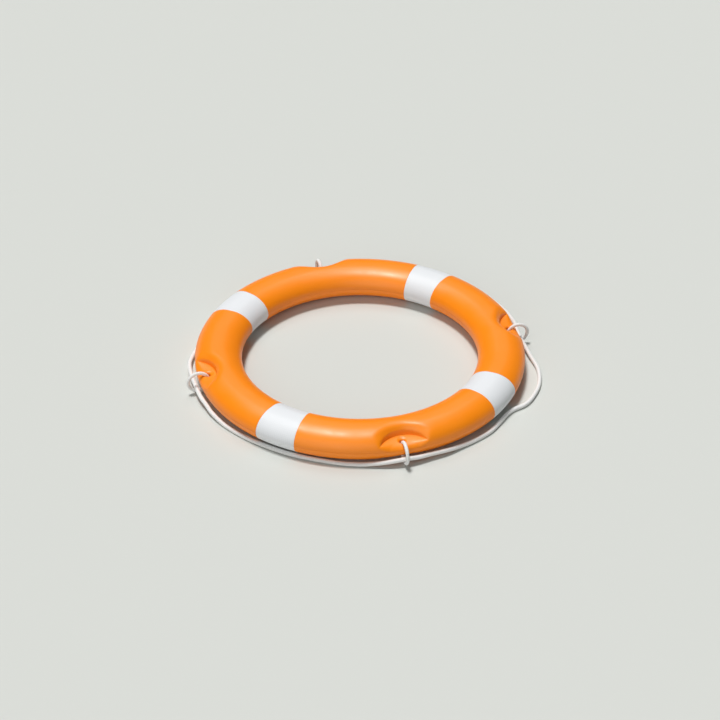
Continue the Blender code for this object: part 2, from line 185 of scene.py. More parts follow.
test_circle = round_the_ring(RIM, np.arange(0, 360, 10), np.zeros(36))
print("curve through 36 points of the rim, against a true circle: %.4f" % (
    girth(smooth_closed(test_circle)) / (math.tau * RIM)))

# %% [markdown]
# A becket's centre line is an ellipse, tilted in its own upright plane. The grab line's height at a
# becket isn't a free choice. Two cords touch when their centre lines are as far apart as half of
# both diameters, so the line is let down into the loop's lower bend until it lies there.

# %% Routes of the cords
BECKET_POINTS = 144


def becket_section(turn):
    """The loop's centre line in its own upright plane, as radius and height."""
    across = BECKET_WIDTH / 2 * np.cos(turn)
    up = BECKET_HEIGHT / 2 * np.sin(turn)
    lean_cos, lean_sin = math.cos(BECKET_TILT), math.sin(BECKET_TILT)
    radius = HOLE_RADIUS + BECKET_WIDTH / 2 - BECKET_SWAY + across * lean_cos + up * lean_sin
    return radius, MID - BECKET_DROP + up * lean_cos - across * lean_sin


def line_height_on_becket():
    """Height of the grab line where it lies in a loop's lower bend."""
    touching = (BECKET_CORD + LINE_DIAMETER) / 2 + FIT_GAP
    lower_bend = np.radians(np.arange(180, 361))
    radius, height = becket_section(lower_bend)
    aside = np.abs(radius - RIM - LINE_OUT_AT_BECKETS)
    under = aside < touching
    return float((height[under] + np.sqrt(touching**2 - aside[under]**2)).max())


def line_curve():
    stops = [(degrees, LINE_OUT_AT_BECKETS, line_height_on_becket()) if out is None
             else (degrees, out, up) for degrees, out, up in LINE_ROUTE]
    degrees, out, up = np.array(stops).T
    return smooth_closed(round_the_ring(RIM + out, degrees, up))


def becket_curve(degrees):
    turns = BECKET_SLEEVE_TURN + np.linspace(0, math.tau, BECKET_POINTS, endpoint=False)
    radius, height = becket_section(turns)
    return round_the_ring(radius, np.full_like(turns, degrees), height)


line_loop = line_curve()
becket_loops = {place: becket_curve(degrees) for place, degrees in BECKET_DEGREES.items()}
print("grab line %.0f mm" % (girth(line_loop) / MM))
print("each becket %.0f mm" % (girth(becket_loops["right"]) / MM))

# %% [markdown]
# Shaders and Geometry Nodes are both trees of nodes. One small function adds a node, sets its
# properties and fills its inputs, so that a tree reads from top to bottom like a recipe. A Mix node
# has sockets for every kind of value under the same few names, so those go by their numbers.

# %% One function for every node
FACTOR, NUMBER_A, NUMBER_B, COLOUR_A, COLOUR_B = 0, 2, 3, 6, 7
MIXED_COLOUR = 2


def add(tree, kind, inputs=(), **settings):
    """Adds a node. An input takes a plain value, or the output of another node as a link."""
    made = tree.nodes.new(kind)
    for name, value in settings.items():
        setattr(made, name, value)
    for key, value in dict(inputs).items():
        if isinstance(value, bpy.types.NodeSocket):
            tree.links.new(value, made.inputs[key])
        else:
            made.inputs[key].default_value = value
    return made


def linear(colour):
    """An sRGB hex colour as the linear values that shaders work in."""
    parts = [int(colour[i:i + 2], 16) / 255 for i in (1, 3, 5)]
    return [c / 12.92 if c <= 0.04045 else ((c + 0.055) / 1.055)**2.4 for c in parts] + [1.0]


# %% [markdown]
# A modifier that runs Geometry Nodes makes each cord and band from a chain of edges. What it makes
# is then turned into a plain mesh, so that the finished piece is only geometry.

# %% From a tree to a plain piece
def node_group(name, sockets):
    """An empty Geometry Nodes tree with a mesh input, the named inputs and a mesh output."""
    tree = bpy.data.node_groups.new(name, "GeometryNodeTree")
    tree.interface.new_socket("Geometry", in_out="INPUT", socket_type="NodeSocketGeometry")
    for label, kind in sockets.items():
        tree.interface.new_socket(label, in_out="INPUT", socket_type="NodeSocket" + kind)
    tree.interface.new_socket("Geometry", in_out="OUTPUT", socket_type="NodeSocketGeometry")
    return tree, add(tree, "NodeGroupInput").outputs


def finish_tree(tree, geometry, surface):
    """Ends a tree with real geometry that carries its material."""
    real = add(tree, "GeometryNodeRealizeInstances", {"Geometry": geometry})
    painted = add(tree, "GeometryNodeSetMaterial",
                  {"Geometry": real.outputs[0], "Material": surface})
    add(tree, "NodeGroupOutput", {"Geometry": painted.outputs[0]})
    print("%s: %d nodes" % (tree.name, len(tree.nodes)))


def line_object(name, points, closed=False):
    """A chain of edges, which a tree turns into a curve."""
    mesh = bpy.data.meshes.new(name)
    edges = [(i, i + 1) for i in range(len(points) - 1)]
    if closed:
        edges.append((len(points) - 1, 0))
    mesh.from_pydata([tuple(point) for point in points], edges, [])
    made = bpy.data.objects.new(name, mesh)
    bpy.context.scene.collection.objects.link(made)
    return made


def grown(host, tree, values):
    """Runs the tree on the host and returns the result as a plain mesh piece of the same name."""
    modifier = host.modifiers.new(tree.name, "NODES")
    modifier.node_group = tree
    for item in tree.interface.items_tree:
        if item.in_out == "INPUT" and item.name in values:
            modifier[item.identifier] = values[item.name]
    bpy.context.view_layer.update()
    graph = bpy.context.evaluated_depsgraph_get()
    mesh = bpy.data.meshes.new_from_object(
        host.evaluated_get(graph), preserve_all_data_layers=True, depsgraph=graph)
    host.modifiers.remove(modifier)
    host.data = mesh
    mesh.name = host.name
    print("%s: %d faces" % (host.name, len(mesh.polygons)))
    return host


# %% [markdown]
# White braided polyester cord. Real cord has sixteen bundles of yarn, eight turning each way, that
# go over and under each other. Polyester yarn has a low, silky shine. The shader paints the grooves
# between bundles darker, as painted shade, by mixing in a darker colour where the braid is low. A
# pattern laid round the cord could place that shade, but it would slip against the relief. So the
# shader reads the height that the braid's tree leaves on each point.

# %% Material of the cord
def new_material(name):
    made = bpy.data.materials.new(name)
    made.use_nodes = True
    print("material:", name)
    return made, made.node_tree, made.node_tree.nodes["Principled BSDF"]


YARN_GRAIN = 0.5 * MM  # a yarn is finer; drawn this coarse so that it shows
YARN_BUMP = 0.15 * MM


def braided_polyester(name, painted_groove_shade, crown):
    made, tree, shader = new_material(name)
    place = add(tree, "ShaderNodeTexCoord").outputs["Object"]
    height = add(tree, "ShaderNodeAttribute", attribute_name="braid_height").outputs["Fac"]
    yarn = add(tree, "ShaderNodeTexNoise",
               {"Vector": place, "Scale": 1 / YARN_GRAIN, "Detail": 2.0})
    shader.inputs["Roughness"].default_value = 0.85
    shader.inputs["IOR"].default_value = 1.5
    shader.inputs["Sheen Weight"].default_value = 0.15
    shader.inputs["Sheen Roughness"].default_value = 0.5
    # Painted shade: the first colour is a darker grey mixed in where the braid is low, in the
    # grooves.
    colour = add(tree, "ShaderNodeMix", {
        FACTOR: height, COLOUR_A: linear(painted_groove_shade), COLOUR_B: linear(crown)}, data_type="RGBA")
    tree.links.new(colour.outputs[MIXED_COLOUR], shader.inputs["Base Color"])
    bump = add(tree, "ShaderNodeBump",
               {"Height": yarn.outputs["Fac"], "Distance": YARN_BUMP, "Strength": 0.4})
    tree.links.new(bump.outputs["Normal"], shader.inputs["Normal"])
    return made


# The first colour is painted shade for the grooves; the second is the cord's own white.
cord_surface = braided_polyester("braided_polyester_cord", "#CDCDCA", "#F8F8F6")

# %% [markdown]
# The braid could be drawn in the material, but from near by a cord needs real relief. On the
# unrolled cord the two families of bundles are two sets of slanting lines. Their crossings form a
# grid of diamonds, and in each diamond one family is on top, by turns. A low power of a sine gives
# each bundle its section: nearly flat along its run, and rounder across it.

# %% Height of the braid
ROUND_ACROSS, FLAT_ALONG = 0.7, 0.3


def braid_height(tree, around, turns, bundles):
    """Height from 0 low between bundles to 1 on a bundle, at a place round the cord and along it."""
    ridges, cells = [], []
    for way in ("ADD", "SUBTRACT"):
        slant = add(tree, "ShaderNodeMath", {0: around, 1: turns}, operation=way)
        bundle = add(tree, "ShaderNodeMath", {0: slant.outputs[0], 1: bundles},
                     operation="MULTIPLY")
        angle = add(tree, "ShaderNodeMath", {0: bundle.outputs[0], 1: math.pi},
                    operation="MULTIPLY")
        wave = add(tree, "ShaderNodeMath", {0: angle.outputs[0]}, operation="SINE")
        ridge = add(tree, "ShaderNodeMath", {0: wave.outputs[0]}, operation="ABSOLUTE")
        cell = add(tree, "ShaderNodeMath", {0: bundle.outputs[0]}, operation="FLOOR")
        ridges.append(ridge.outputs[0])
        cells.append(cell.outputs[0])
    both = add(tree, "ShaderNodeMath", {0: cells[0], 1: cells[1]}, operation="ADD")
    on_top = add(tree, "ShaderNodeMath", {0: both.outputs[0], 1: 2.0}, operation="FLOORED_MODULO")
    across = add(tree, "ShaderNodeMix", {
        FACTOR: on_top.outputs[0], NUMBER_A: ridges[0], NUMBER_B: ridges[1]})
    along_it = add(tree, "ShaderNodeMix", {
        FACTOR: on_top.outputs[0], NUMBER_A: ridges[1], NUMBER_B: ridges[0]})
    rounder = add(tree, "ShaderNodeMath", {0: across.outputs[0], 1: ROUND_ACROSS},
                  operation="POWER")
    flatter = add(tree, "ShaderNodeMath", {0: along_it.outputs[0], 1: FLAT_ALONG},
                  operation="POWER")
    return add(tree, "ShaderNodeMath", {0: rounder.outputs[0], 1: flatter.outputs[0]},
               operation="MULTIPLY").outputs[0]


# %% [markdown]
# The tree sweeps a circle along the route, notes on each point where it lies along and round the
# cord, and then sinks each point by what the braid's height lacks there.

# %% Tree of the braided cord
def braided_cord():
    tree, sizes = node_group("braided_cord", {
        "Radius": "Float", "Relief": "Float", "Bundles each way": "Int", "Lay length": "Float",
        "Ring spacing": "Float", "Sides": "Int", "Material": "Material"})
    route = add(tree, "GeometryNodeMeshToCurve", {"Mesh": sizes["Geometry"]})
    rings = add(tree, "GeometryNodeResampleCurve",
                {"Curve": route.outputs[0], "Length": sizes["Ring spacing"]}, mode="LENGTH")
    here = add(tree, "GeometryNodeSplineParameter")
    run = add(tree, "GeometryNodeCaptureAttribute", {"Geometry": rings.outputs[0]})
    run.capture_items.new("FLOAT", "run")
    tree.links.new(here.outputs["Length"], run.inputs["run"])
    circle = add(tree, "GeometryNodeCurvePrimitiveCircle",
                 {"Resolution": sizes["Sides"], "Radius": sizes["Radius"]})
    around = add(tree, "GeometryNodeCaptureAttribute", {"Geometry": circle.outputs[0]})
    around.capture_items.new("FLOAT", "around")
    tree.links.new(here.outputs["Factor"], around.inputs["around"])
    tube = add(tree, "GeometryNodeCurveToMesh", {
        "Curve": run.outputs[0], "Profile Curve": around.outputs[0], "Fill Caps": True})
    turns = add(tree, "ShaderNodeMath",
                {0: run.outputs["run"], 1: sizes["Lay length"]}, operation="DIVIDE")
    height = braid_height(
        tree, around.outputs["around"], turns.outputs[0], sizes["Bundles each way"])
    sunk = add(tree, "ShaderNodeMath", {0: height, 1: 1.0}, operation="SUBTRACT")
    depth = add(tree, "ShaderNodeMath", {0: sunk.outputs[0], 1: sizes["Relief"]},
                operation="MULTIPLY")
    normal = add(tree, "GeometryNodeInputNormal")
    move = add(tree, "ShaderNodeVectorMath",
               {0: normal.outputs["Normal"], "Scale": depth.outputs[0]}, operation="SCALE")
    noted = add(tree, "GeometryNodeStoreNamedAttribute", {
        "Geometry": tube.outputs[0], "Name": "braid_height", "Value": height})
    carved = add(tree, "GeometryNodeSetPosition",
                 {"Geometry": noted.outputs[0], "Offset": move.outputs[0]})
    finish_tree(tree, carved.outputs[0], sizes["Material"])
    return tree


BRAID = braided_cord()

# %% [markdown]
# The grab line is one cord of 10 mm round the whole ring, and each becket is a short loop of 8 mm
# that passes through the hole in its recess. Both are closed by a sleeve, where the cord's two
# ends meet. A becket's sleeve sits under its recess, where the photograph doesn't look.

# %% Grab line and beckets
BUNDLES_EACH_WAY = 8
CORD_SIDES = 32
# lengths as shares of the cord's diameter
GROOVE_DEPTH = 0.06
LAY_LENGTH = 3.4  # in which a bundle goes once round the cord
RING_SPACING = 0.125
PATH_STEP = 0.25


def cord(name, loop, diameter):
    """A braided cord round a closed route, open by a hair inside its sleeve, and its own path."""
    path = along(loop, FIT_GAP / 2, girth(loop) - FIT_GAP / 2, PATH_STEP * diameter)
    made = grown(line_object(name, path), BRAID, {
        "Radius": diameter / 2, "Relief": GROOVE_DEPTH * diameter,
        "Bundles each way": BUNDLES_EACH_WAY, "Lay length": LAY_LENGTH * diameter,
        "Ring spacing": RING_SPACING * diameter, "Sides": CORD_SIDES, "Material": cord_surface})
    return made, path


grab_line, grab_line_path = cord("grab_line_braid", line_loop, LINE_DIAMETER)
beckets = {place: cord("becket_%s_braid" % place, loop, BECKET_CORD)
           for place, loop in becket_loops.items()}

# %% [markdown]
# White heat-shrink tube, a soft plastic that is slipped over the joint and shrunk by heat. It has a
# smooth, slightly waxy surface, in which the braid below raises shallow ripples a few millimetres
# wide. Noise of that size is enough here, because no ripple has to meet a bundle.

# %% Material of the sleeves
SHRINK_RIPPLE = 4 * MM
RIPPLE_BUMP = 0.3 * MM


def shrink_tube():
    made, tree, shader = new_material("white_shrink_tube")
    place = add(tree, "ShaderNodeTexCoord").outputs["Object"]
    ripple = add(tree, "ShaderNodeTexNoise",
                 {"Vector": place, "Scale": 1 / SHRINK_RIPPLE, "Detail": 1.0})
    bump = add(tree, "ShaderNodeBump",
               {"Height": ripple.outputs["Fac"], "Distance": RIPPLE_BUMP, "Strength": 0.5})
    tree.links.new(bump.outputs["Normal"], shader.inputs["Normal"])
    colour = add(tree, "ShaderNodeMix", {
        FACTOR: ripple.outputs["Fac"],
        COLOUR_A: linear("#DEDEDA"), COLOUR_B: linear("#ECECE8")}, data_type="RGBA")
    tree.links.new(colour.outputs[MIXED_COLOUR], shader.inputs["Base Color"])
    shader.inputs["Roughness"].default_value = 0.42
    shader.inputs["IOR"].default_value = 1.5
    return made


sleeve_surface = shrink_tube()

# %% [markdown]
# A sleeve is a lathe shape whose axis bends with the cord, which a Screw modifier can't follow. So
# each point of its section has a distance along the cord and a radius, and the section is carried
# round the cord in small turns.

# %% A lathe shape on a bent axis
SLEEVE_SIDES = 40


def new_piece(name, points, faces, surface):
    mesh = bpy.data.meshes.new(name)
    mesh.from_pydata([tuple(point) for point in points], [], faces)
    mesh.materials.append(surface)
    mesh.shade_smooth()
    made = bpy.data.objects.new(name, mesh)
    bpy.context.scene.collection.objects.link(made)
    return made


def bent_lathe(name, loop, section, surface):
    """A closed section of (distance along the loop, radius), turned about the curved line."""
    distances, radii = np.array(section).T
    centres = points_at(loop, distances)
    axis = points_at(loop, distances + FIT_GAP) - centres
    axis /= np.linalg.norm(axis, axis=1)[:, None]
    aside = np.cross(axis, (0.0, 0.0, 1.0))
    aside /= np.linalg.norm(aside, axis=1)[:, None]
    above = np.cross(aside, axis)
    turn = np.linspace(0, math.tau, SLEEVE_SIDES, endpoint=False)[None, :, None]
    spokes = aside[:, None] * np.cos(turn) + above[:, None] * np.sin(turn)
    points = centres[:, None] + spokes * radii[:, None, None]
    rows = len(section)
    faces = [(i * SLEEVE_SIDES + j, i * SLEEVE_SIDES + (j + 1) % SLEEVE_SIDES,
              (i + 1) % rows * SLEEVE_SIDES + (j + 1) % SLEEVE_SIDES,
              (i + 1) % rows * SLEEVE_SIDES + j)
             for i in range(rows) for j in range(SLEEVE_SIDES)]
    return new_piece(name, points.reshape(-1, 3), faces, surface)


# %% [markdown]
# Where the tube ends, the heat draws it tight on the cord. So its wall thins towards both lips, in
# a quarter of a sine wave. The sharp angle leaves the rims of the lips crisp.

# %% Sleeves
SLEEVE_LENGTH = 36 * MM
BECKET_SLEEVE_LENGTH = 13 * MM
SLEEVE_WALL = 1.5 * MM
SLEEVE_FIT = 0.4 * MM  # the tube bridges the braid's grooves
SLEEVE_LIP = 4 * MM  # over which the wall thins
LIP_WALL = 0.45  # share of the wall that is left at the lip
SLEEVE_STEPS = 25
SLEEVE_SHARP = math.radians(50)


def sleeve(name, loop, cord_diameter, length):
    """Shrunk over the place where the loop's two ends meet, thick in the middle."""
    bore = cord_diameter / 2 + SLEEVE_FIT
    half = length / 2
    steps = np.linspace(-1, 1, SLEEVE_STEPS)
    bulge = np.clip((1 - np.abs(steps)) * half / SLEEVE_LIP, 0, 1)
    wall = SLEEVE_WALL * (LIP_WALL + (1 - LIP_WALL) * np.sin(bulge * math.pi / 2))
    section = list(zip(steps * half, bore + wall)) + [(-step * half, bore) for step in steps]
    made = bent_lathe(name, loop, section, sleeve_surface)
    made.data.set_sharp_from_angle(angle=SLEEVE_SHARP)
    print("%s: %.0f mm long" % (name, length / MM))
    return made


grab_line_sleeve = sleeve("grab_line_sleeve_shrunk", line_loop, LINE_DIAMETER, SLEEVE_LENGTH)
becket_sleeves = {
    place: sleeve("becket_sleeve_%s_shrunk" % place, loop, BECKET_CORD, BECKET_SLEEVE_LENGTH)
    for place, loop in becket_loops.items()}

# %% [markdown]
# A finished piece takes the place of its nodes in the imported model.

# %% Hand the cords to the frame
def install(piece, slot, *nodes):
    """The piece takes the place of its CAD nodes and moves with the ring's one body."""
    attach(piece, "root")
    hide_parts(*nodes)
    print(piece.name, "replaces", *nodes)


install(grab_line, "rope", "grab_line")
install(grab_line_sleeve, "sleeve", "grab_line_sleeve")
for place, (becket, becket_path) in beckets.items():
    install(becket, "becket", "becket_" + place)
    install(becket_sleeves[place], "sleeve", "becket_sleeve_" + place)

# %% [markdown]
# The shell is one smooth form: an oval tube with half-moon recesses whose edges are soft. Cut from
# a mesh, a recess would have hard edges, and a bevel tears where its wall runs out into the curved
# crown. So the form is written as a function that tells how far outside the ring a point lies. A
# recess is then the space outside two slopes, its wall and its shelf, and a rounded maximum gives
# every edge its radius.

# %% The ring as a function
FLAT_STRIP = 20 * MM  # flat crown and underside, so that rings stack
OVAL_RISE = MID / math.sqrt(1 - (FLAT_STRIP / 2 / HALF_WIDTH)**2)
FLAT_SOFTNESS = 1.5 * MM
RECESS_AXIS = RIM + 20 * MM  # the half moon's upright axis, outside the rim
RECESS_RADIUS = 60 * MM
WALL_SLOPE = math.radians(85)
SHELF_SLOPE = math.radians(8.5)
# side of the ring, crease from mid height, softness of the wall's lip and of the shelf's edge
RECESSES = ((1, 12.5 * MM, 20 * MM, 16 * MM), (-1, 23.5 * MM, 10 * MM, 6 * MM))
CRISP = 4 * MM  # softness near the crease, from which the others grow
SHELF_GROWTH = 0.6


def from_recess_axis(out, offset):
    """Level distance to the nearest recess's axis, by the law of cosines."""
    return np.sqrt(out**2 + RECESS_AXIS**2 - 2 * out * RECESS_AXIS * np.cos(offset))


def soft_max(a, b, softness):
    """The larger of the two, rounded off where they are within the softness of each other."""
    near = np.clip(softness - np.abs(a - b), 0, None)
    return np.maximum(a, b) + near**2 / (4 * softness)


def outside_by(offset, across, up):
    """How far outside the ring a point lies. Its turn from the nearest recess is the offset."""
    oval = np.hypot(across / HALF_WIDTH, up / OVAL_RISE)
    tube = (oval - 1) * oval / np.hypot(across / HALF_WIDTH**2, up / OVAL_RISE**2)
    tube = soft_max(tube, np.abs(up) - MID, FLAT_SOFTNESS)
    into = RECESS_RADIUS - from_recess_axis(TUBE_RADIUS + across, offset)
    cut = tube
    for side, rise, lip, edge in RECESSES:
        above = side * up - rise
        wall = into * math.sin(WALL_SLOPE) + above * math.cos(WALL_SLOPE)
        shelf = into * math.sin(SHELF_SLOPE) + above * math.cos(SHELF_SLOPE)
        wall = soft_max(tube, wall, np.clip(CRISP + above, CRISP, lip))
        shelf = soft_max(tube, shelf, np.clip(CRISP + SHELF_GROWTH * into, CRISP, edge))
        cut = np.maximum(cut, np.minimum(wall, shelf))
    return cut


AT_A_BAND = math.pi / 4  # the turn from a recess's middle to a band's
print("the crown lies outside by %.1f mm" % (outside_by(AT_A_BAND, 0.0, MID) / MM))
print("a recess's middle lies outside by %.1f mm" % (
    outside_by(0.0, HALF_WIDTH - 10 * MM, MID - 10 * MM) / MM))

# %% [markdown]
# Where a ray leaves the form has no formula. But the function rises along the ray, so halving the
# stretch in which it changes sign finds the place, for all rays at once.

# %% Rays to the surface
HALVINGS = 30
RAY_START, RAY_END = 2 * MM, 60 * MM  # the surface always lies between the two


def zero_between(value, low, high):
    """Where a rising function crosses zero, by halving."""
    for _ in range(HALVINGS):
        middle = (low + high) / 2
        outside = value(middle) > 0
        low, high = np.where(outside, low, middle), np.where(outside, middle, high)
    return (low + high) / 2


def reach(offset, slope, inset):
    """From the tube's middle line along a sloping ray to the surface, moved in by the inset."""
    across, up = np.cos(slope), np.sin(slope)
    shape = np.broadcast(offset, slope, inset).shape
    return zero_between(lambda r: outside_by(offset, r * across, r * up) + inset,
                        np.full(shape, RAY_START), np.full(shape, RAY_END))


for ray, ray_slope in (("out", 0.0), ("up", math.pi / 2)):
    print("surface %.1f mm %s" % (reach(AT_A_BAND, ray_slope, 0.0) / MM, ray))

# %% [markdown]
# The function becomes a mesh by sending rays out from the tube's middle line. Columns of points go
# round the tube, and rows of them go round the ring. Columns stand closer together at a recess. At
# a band's edge two columns share an angle, one on the surface and one in the shallow seat, which
# makes the seat's sharp step.

# %% Columns of the shell's grid
BAND_WIDTH = 84 * MM
BAND_HALF_ANGLE = math.degrees(BAND_WIDTH / 2 / TUBE_RADIUS)
SEAT_DEPTH = 1.3 * MM
SEAT_COLUMNS = 6
# degrees from the band's middle where a stretch of columns ends, and how many it has
PLAIN_END, PLAIN_COLUMNS = 31, 14
APPROACH_END, APPROACH_COLUMNS = 35.5, 9
RECESS_MIDDLE, RECESS_COLUMNS = 45, 53


def quarter_columns():
    """Degrees and inset of each column from one band's middle to the next one's."""
    edge = BAND_HALF_ANGLE
    seat = [(at, SEAT_DEPTH) for at in np.linspace(0, edge, SEAT_COLUMNS)]
    bare = np.concatenate([
        np.linspace(edge, PLAIN_END, PLAIN_COLUMNS, endpoint=False),
        np.linspace(PLAIN_END, APPROACH_END, APPROACH_COLUMNS, endpoint=False),
        np.linspace(APPROACH_END, RECESS_MIDDLE, RECESS_COLUMNS)])
    half = seat + [(at, 0.0) for at in bare]
    return half + [(90 - at, inset) for at, inset in reversed(half[1:-1])]


print("columns from band to band:", len(quarter_columns()))

# %% [markdown]
# One row of points follows the crease between wall and shelf, so that the crease stays a clean
# line. Past the recess's end it eases back to a plain slope. The other rows share the space
# between, evenly spaced where the recess is deepest.

# %% Rows of the shell's grid
CREASE_ENDS, CREASE_FREE = math.radians(9.3), math.radians(14)  # turns from the recess's middle
FREE_SLOPE = math.radians(30)
CREASE_INNERMOST = 5 * MM  # the crease lies farther than this from the middle line
CROWN_SLOPE = math.radians(95)
SHELF_ROWS, WALL_ROWS, INNER_ROWS, BACK_ROWS = 36, 26, 24, 25
SAMPLES = 400


def crease_slope(offset, side, depth):
    """Slope of the ray to the crease, and beyond the recess a slope that eases to a plain one."""
    turn = np.minimum(np.abs(offset), CREASE_ENDS)
    steepness = 1 / math.tan((WALL_SLOPE + SHELF_SLOPE) / 2)

    def rise(across):
        return depth + steepness * (RECESS_RADIUS - from_recess_axis(TUBE_RADIUS + across, turn))

    across = zero_between(lambda a: outside_by(turn, a, side * rise(a)),
                          np.full_like(turn, CREASE_INNERMOST), np.full_like(turn, HALF_WIDTH))
    ease = np.clip((np.abs(offset) - CREASE_ENDS) / (CREASE_FREE - CREASE_ENDS), 0, 1)
    ease = ease * ease * (3 - 2 * ease)
    return np.arctan2(rise(across), across) * (1 - ease) + FREE_SLOPE * ease


def even_parts(low, high, side, count):
    """Fractions from low to high slope that are evenly spaced on a recess's middle section."""
    slope = np.linspace(low, high, SAMPLES)
    r = reach(0.0, side * slope, 0.0)
    steps = np.hypot(np.diff(r * np.cos(slope)), np.diff(r * np.sin(slope)))
    marks = np.concatenate([[0], np.cumsum(steps)])
    return (np.interp(np.linspace(0, marks[-1], count + 1), marks, slope) - low) / (high - low)


for crease_side, crease_depth, _, _ in RECESSES:
    crease_at = crease_slope(np.zeros(1), crease_side, crease_depth)[0]
    print("crease at %.1f degrees, side %d" % (math.degrees(crease_at), crease_side))

# %% [markdown]
# Each half is one closed skin. It runs over the outside from joint to joint, and comes back along
# the inside of the wall. A Solidify modifier would thicken the shelf and the crease unevenly,
# while the function gives the inner face just as it gives the outer one.

# %% A hollow half shell
SHELL_WALL = 3.5 * MM


def grid_piece(name, points, surface):
    """Closes a grid of points both ways, round the ring and round the tube."""
    rows, columns = points.shape[:2]
    at = np.arange(rows * columns).reshape(rows, columns)
    right, above = np.roll(at, -1, axis=1), np.roll(at, -1, axis=0)
    both = np.roll(right, -1, axis=0)
    faces = np.stack([at, right, both, above], axis=-1).reshape(-1, 4)
    return new_piece(name, points.reshape(-1, 3), faces.tolist(), surface)


def on_ring(turn, slope, r, side=0):
    """Points on rays from the tube's middle line, kept to one side of the joint at mid height."""
    out = TUBE_RADIUS + r * np.cos(slope)
    up = r * np.sin(slope)
    if side:
        up = side * np.maximum(side * up, FIT_GAP / 2)
    return np.stack([out * np.cos(turn), out * np.sin(turn), MID + up], axis=-1)


def half_shell(name, side, depth, surface):
    """The upper or the lower half of the hollow shell, as one closed skin."""
    degrees, inset = np.array(quarter_columns()).T
    turn = np.radians(np.concatenate([degrees + quarter for quarter in (0, 90, 180, 270)]))
    offset = np.radians(np.tile(degrees - 45, 4))
    inset = np.tile(inset, 4)
    crease = crease_slope(offset, side, depth)
    middle = crease_slope(np.zeros(1), side, depth)[0]
    shelf_part = even_parts(0, middle, side, SHELF_ROWS)[:, None]
    wall_part = even_parts(middle, CROWN_SLOPE, side, WALL_ROWS)[1:, None]
    inner_part = even_parts(CROWN_SLOPE, math.pi, side, INNER_ROWS)[1:, None]
    slope = side * np.concatenate([
        crease * shelf_part, crease + (CROWN_SLOPE - crease) * wall_part,
        CROWN_SLOPE + (math.pi - CROWN_SLOPE) * inner_part + 0 * crease])
    outside = on_ring(turn, slope, reach(offset, slope, inset), side)
    back = side * np.linspace(math.pi, 0, BACK_ROWS)[:, None] + 0 * turn
    inside = on_ring(turn, back, reach(offset, back, SHELL_WALL), side)
    made = grid_piece(name, np.concatenate([outside, inside]), surface)
    if side < 0:
        made.data.flip_normals()
    return made


# %% [markdown]
# The remaining details of the shell are round: a boss and a flared hole for each becket in the
# recess's flange, and two plug holes in the underside. The grid's rows can't follow so small a
# circle. So these are turned shapes, which a Boolean modifier joins to the shell or cuts from it.
# Its Manifold solver takes closed meshes and gives back a closed one.

# %% Turned shapes and cuts
def turned(name, section, places, sides, surface):
    """A section of (radius, height) pairs, lowest first, turned about an upright axis at places."""
    radii, heights = np.array(section).T
    turn = np.linspace(0, math.tau, sides, endpoint=False)
    ring = np.stack([np.cos(turn), np.sin(turn), 0 * turn], axis=-1)
    form = ring * radii[:, None, None] + np.array([0, 0, 1]) * heights[:, None, None]
    points, faces = [], []
    for degrees, out in places:
        start = len(points) * form.size // 3
        angle = math.radians(degrees)
        middle = np.array([out * math.cos(angle), out * math.sin(angle), 0])
        points.append(form.reshape(-1, 3) + middle)
        faces += [[start + i * sides + j, start + i * sides + (j + 1) % sides,
                   start + (i + 1) * sides + (j + 1) % sides, start + (i + 1) * sides + j]
                  for i in range(len(section) - 1) for j in range(sides)]
        faces.append([start + j for j in reversed(range(sides))])
        faces.append([start + (len(section) - 1) * sides + j for j in range(sides)])
    return new_piece(name, np.concatenate(points), faces, surface)


def combine(piece, operation, tool):
    """Joins the tool to the piece or cuts it away, and removes the tool."""
    change = piece.modifiers.new(tool.name, "BOOLEAN")
    change.operation, change.solver, change.object = operation, "MANIFOLD", tool
    bpy.context.view_layer.update()
    graph = bpy.context.evaluated_depsgraph_get()
    mesh = bpy.data.meshes.new_from_object(
        piece.evaluated_get(graph), preserve_all_data_layers=True, depsgraph=graph)
    piece.modifiers.remove(change)
    piece.data = mesh
    mesh.name = piece.name
    bpy.data.objects.remove(tool)


# %% [markdown]
# Moulded polyethylene in signal orange. The mould leaves a fine pebbled skin that blurs
# reflections, and handling rubs it a little duller in patches. The colour goes right through the
# plastic, so worn places stay orange. Noise on Object coordinates gives all of this, because it
# has no seam on a form that closes both ways.

# %% Material of the shell
PEBBLE = 1.6 * MM  # real pebble is finer; drawn this coarse so that it shows
PEBBLE_BUMP = 0.06 * MM
RUB = 40 * MM
TINT_DRIFT = 120 * MM


def moulded_polyethylene():
    made, tree, shader = new_material("moulded_orange_polyethylene")
    place = add(tree, "ShaderNodeTexCoord").outputs["Object"]
    drift = add(tree, "ShaderNodeTexNoise",
                {"Vector": place, "Scale": 1 / TINT_DRIFT, "Detail": 2.0})
    colour = add(tree, "ShaderNodeMix", {
        FACTOR: drift.outputs["Fac"],
        COLOUR_A: linear("#FF890A"), COLOUR_B: linear("#FF9010")}, data_type="RGBA")
    tree.links.new(colour.outputs[MIXED_COLOUR], shader.inputs["Base Color"])
    rub = add(tree, "ShaderNodeTexNoise", {"Vector": place, "Scale": 1 / RUB, "Detail": 6.0})
    dull = add(tree, "ShaderNodeMapRange", {
        "Value": rub.outputs["Fac"], "From Min": 0.35, "From Max": 0.7,
        "To Min": 0.36, "To Max": 0.46})
    tree.links.new(dull.outputs["Result"], shader.inputs["Roughness"])
    pebble = add(tree, "ShaderNodeTexNoise", {"Vector": place, "Scale": 1 / PEBBLE, "Detail": 1.0})
    bump = add(tree, "ShaderNodeBump",
               {"Height": pebble.outputs["Fac"], "Distance": PEBBLE_BUMP, "Strength": 0.35})
    tree.links.new(bump.outputs["Normal"], shader.inputs["Normal"])
    shader.inputs["IOR"].default_value = 1.51
    return made


shell_surface = moulded_polyethylene()

# %% [markdown]
# Under each becket's hole the two halves meet in a boss, a short post round the bore. The bore
# widens in a bend at both shelves, so that the cord turns over a round edge. Its cutter is one
# turned section, which goes on past the shelves as a cone.

